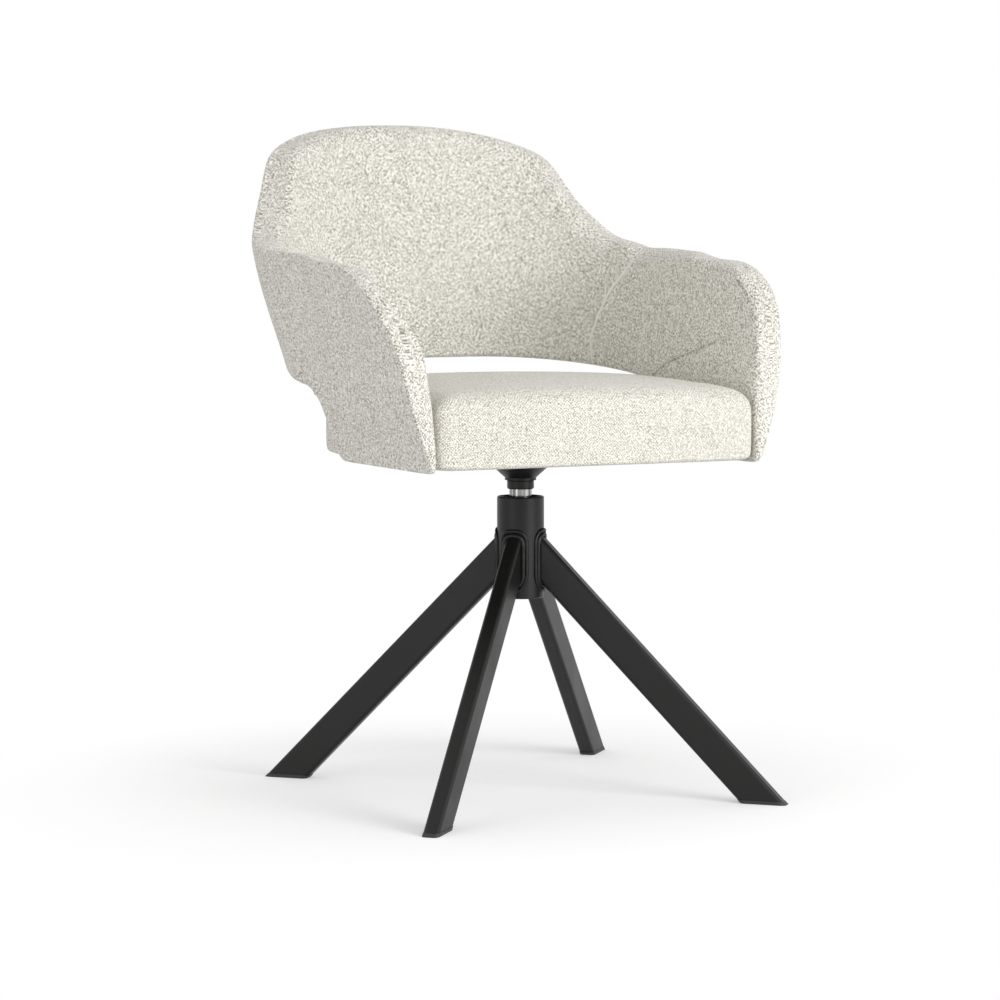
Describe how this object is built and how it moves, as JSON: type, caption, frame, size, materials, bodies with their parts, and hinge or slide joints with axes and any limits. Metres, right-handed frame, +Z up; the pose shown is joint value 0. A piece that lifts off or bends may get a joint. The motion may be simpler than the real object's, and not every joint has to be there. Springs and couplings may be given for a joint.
{
  "type": "swivel dining armchair",
  "caption": "Upholstered dining armchair with a wrap-round back and low arms on a padded seat, turning freely on a fixed-height column carried by a splayed base of rectangular steel tube legs.",
  "frame": {"origin": "on the floor, on the swivel axis", "axes": "+Z up, the sitter faces -Y, +X is the sitter's left"},
  "size_m": [0.5682, 0.6194, 0.829],
  "materials": {
    "base_coat": "fine matt black powder coat",
    "column_coat": "satin black",
    "glide": "matt",
    "bush": "matt moulded nylon",
    "bearing": "ground",
    "fastener": "zinc plated",
    "chrome": "polished",
    "plywood": "raw birch plywood",
    "foam": "open-cell foam",
    "cover": "ivory slub weave",
    "lining": "black non-woven",
    "frame_coat": "black primer"
  },
  "bodies": {
    "base": {"hub_tube": "base_coat", "leg_rear_left": "base_coat", "leg_rear_right": "base_coat", "leg_front_right": "base_coat", "leg_front_left": "base_coat", "foot_cap_rear_left": "glide", "foot_cap_rear_right": "glide", "foot_cap_front_right": "glide", "foot_cap_front_left": "glide", "leg_welds": "base_coat", "column_tube": "column_coat", "upper_bush": "bush", "lower_bush": "bush", "bearing_lower_race": "bearing", "bearing_balls": "bearing", "bearing_cage": "bush"},
    "seat": {"bearing_upper_race": "bearing", "end_washer": "fastener", "retaining_clip": "fastener", "spindle": "chrome", "spindle_collar": "base_coat", "swivel_plate": "base_coat", "plate_bolts": "fastener", "plate_washers": "fastener", "bracket_bolts": "fastener", "board_t_nuts": "fastener", "seat_board": "plywood", "seat_foam": "foam", "seat_cover": "cover", "dust_cover": "lining", "frame_rail": "frame_coat", "frame_hoop": "frame_coat", "arm_bracket_left": "frame_coat", "arm_bracket_right": "frame_coat", "back_foam": "foam", "cover_outer": "cover", "cover_inner_arm_left": "cover", "cover_inner_arm_right": "cover", "cover_inner_back": "cover"}
  },
  "joints": [
    {"name": "seat_swivel", "type": "hinge", "parent": "base", "child": "seat", "pos_m": [0, 0, 0.39], "axis": [0, 0, 1], "continuous": true}
  ]
}
